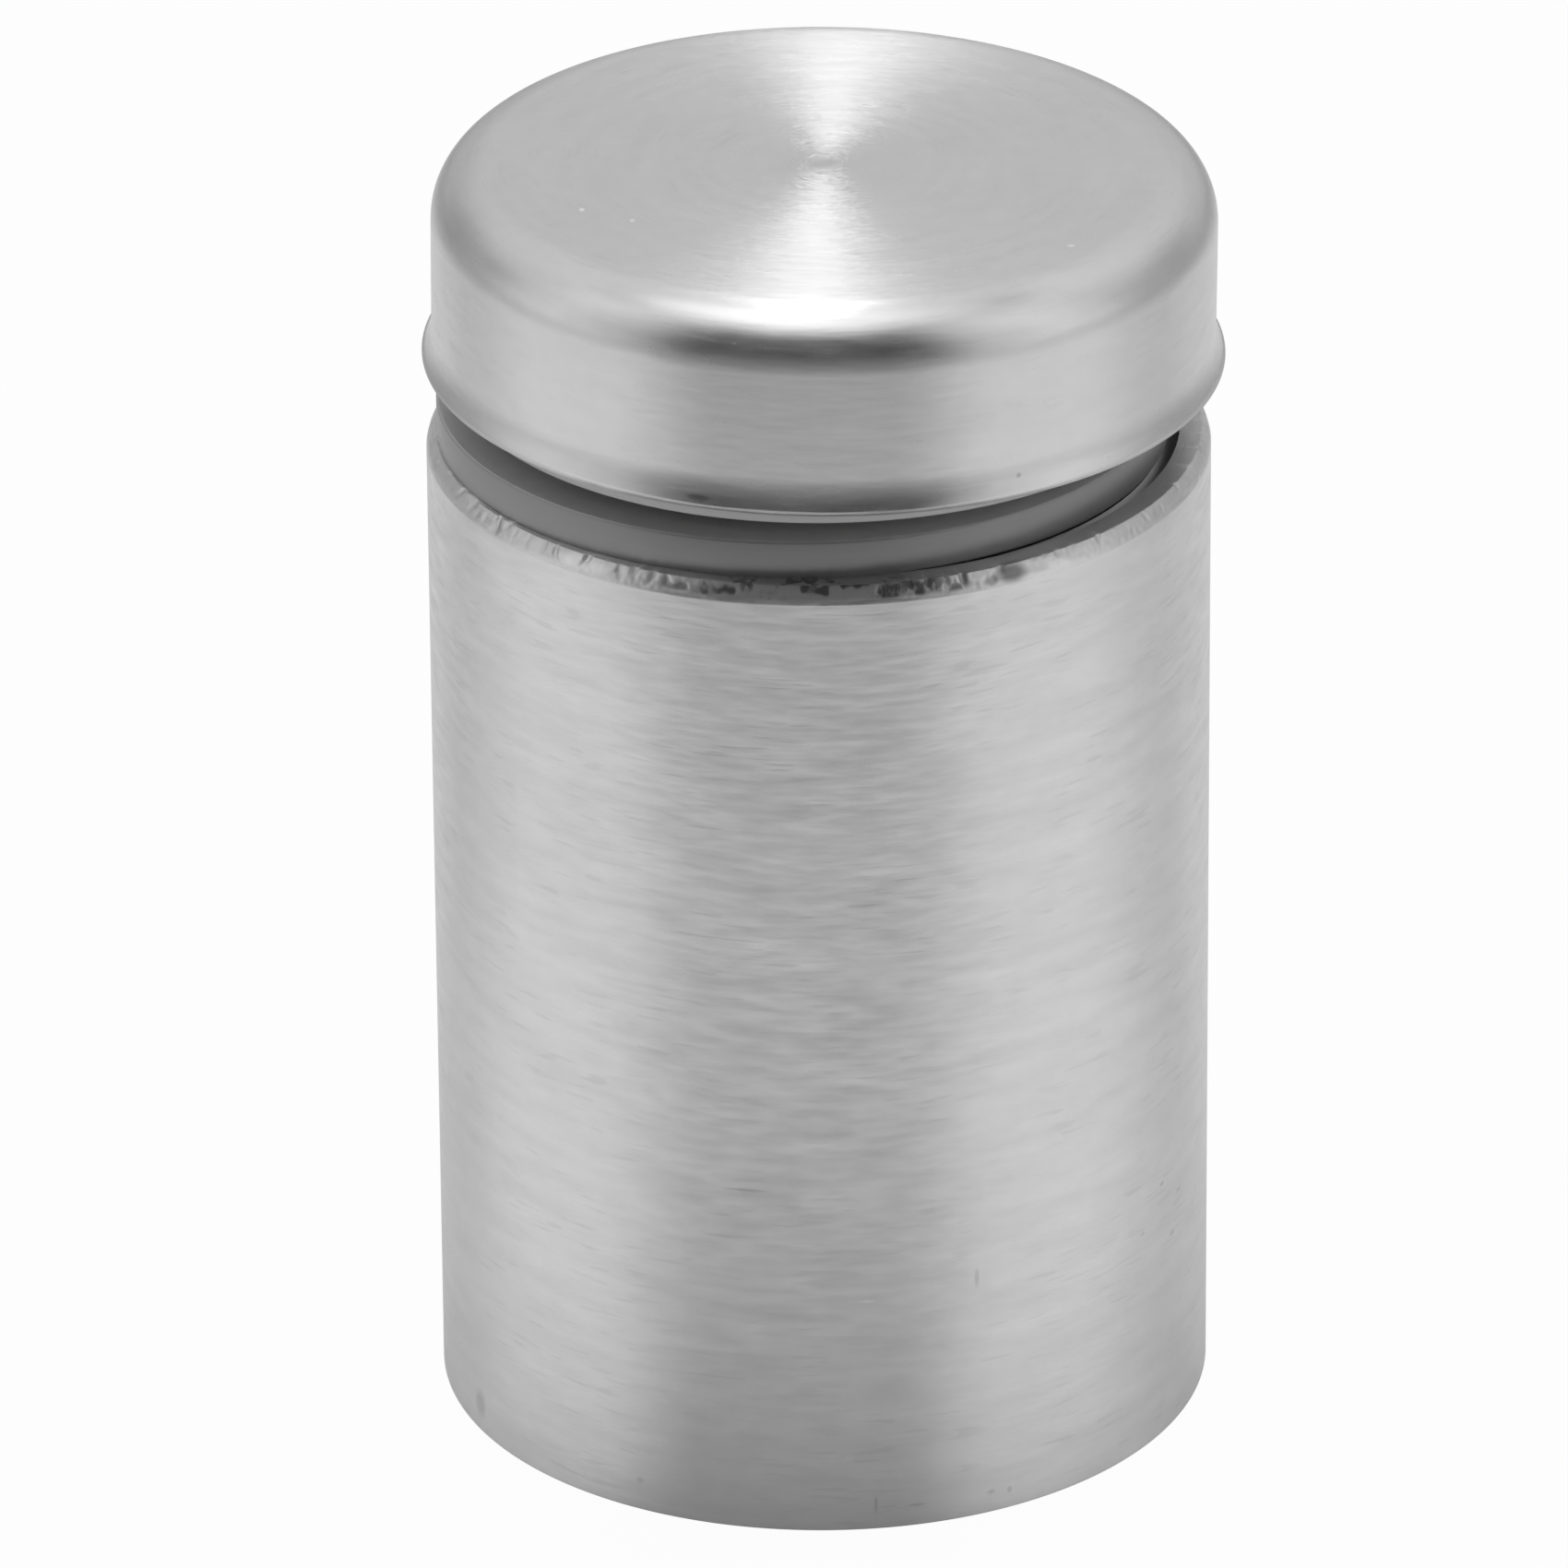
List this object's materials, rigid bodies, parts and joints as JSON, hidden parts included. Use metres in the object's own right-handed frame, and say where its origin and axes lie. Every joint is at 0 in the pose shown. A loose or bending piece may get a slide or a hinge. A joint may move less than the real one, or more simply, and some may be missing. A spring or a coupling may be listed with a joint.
{
  "type": "glass panel standoff",
  "caption": "Round brushed-steel standoff: a wall-fixed barrel and a screw-down cap that clamps a drilled glass panel between two soft washers.",
  "frame": {"origin": "centre of the barrel's wall face, on the standoff's axis", "axes": "+Z along the standoff's axis, from the wall towards the cap; the loose washers have slipped aside along X"},
  "size_m": [0.0306, 0.0306, 0.0509],
  "materials": {
    "barrel_steel": "brushed round the barrel, fine hairlines, top rim left rough from cutting",
    "cap_steel": "spun brushing in circles on the flat top, softly brushed skirt",
    "turned_steel": "plain turned",
    "stud_steel": "rolled thread, dull",
    "washer_rubber": "matt grey"
  },
  "bodies": {
    "barrel": {"barrel_tube": "barrel_steel", "top_insert": "turned_steel", "base_insert": "turned_steel", "lower_washer": "washer_rubber"},
    "upper_washer": {"upper_washer": "washer_rubber"},
    "cap": {"cap_shell": "cap_steel", "cap_core": "turned_steel", "threaded_stud": "stud_steel"}
  },
  "joints": [
    {"name": "cap_lift", "type": "slide", "parent": "barrel", "child": "upper_washer", "axis": [0, 0, 1], "range_m": [-0.00071, 0.02401]},
    {"name": "cap_turn", "type": "hinge", "parent": "upper_washer", "child": "cap", "pos_m": [0, 0, 0.04375], "axis": [0, 0, 1], "range_deg": [-201.6, 6912]}
  ],
  "couplings": [
    {"joint": "cap_lift", "follows": "cap_turn", "m_per_rad": 0.00019894}
  ]
}
